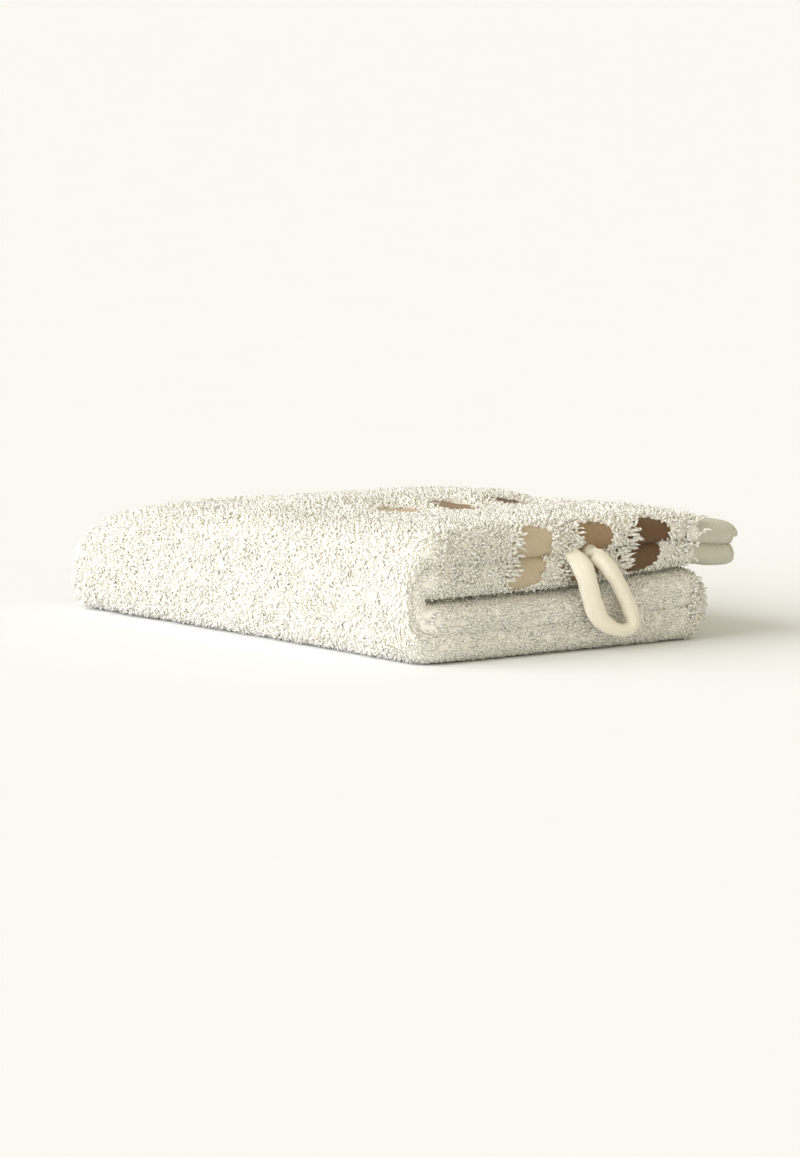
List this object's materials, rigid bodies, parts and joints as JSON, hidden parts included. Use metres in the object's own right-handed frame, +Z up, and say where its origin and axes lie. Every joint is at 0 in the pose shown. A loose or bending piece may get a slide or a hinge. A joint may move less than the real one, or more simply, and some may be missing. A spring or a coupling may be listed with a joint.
{
  "type": "folded washcloth mitt",
  "caption": "Terry washcloth sewn as a mitt, folded once across its length and lying flat, with woven dots, a flat hemmed opening and a hanging loop at the seam.",
  "frame": {"origin": "on the surface that the cloth lies on, under the middle of the folded cloth", "axes": "+X along the fold towards the seam with the loop, +Y from the fold to the hemmed opening, +Z up"},
  "size_m": [0.1701, 0.1151, 0.0373],
  "materials": {
    "terry": "cream cotton towelling with a deep looped pile, flat woven dots and a flat woven hem",
    "loop_band": "soft cream cotton band"
  },
  "bodies": {
    "root": {"mitt": "terry", "hanging_loop": "loop_band"}
  },
  "joints": []
}
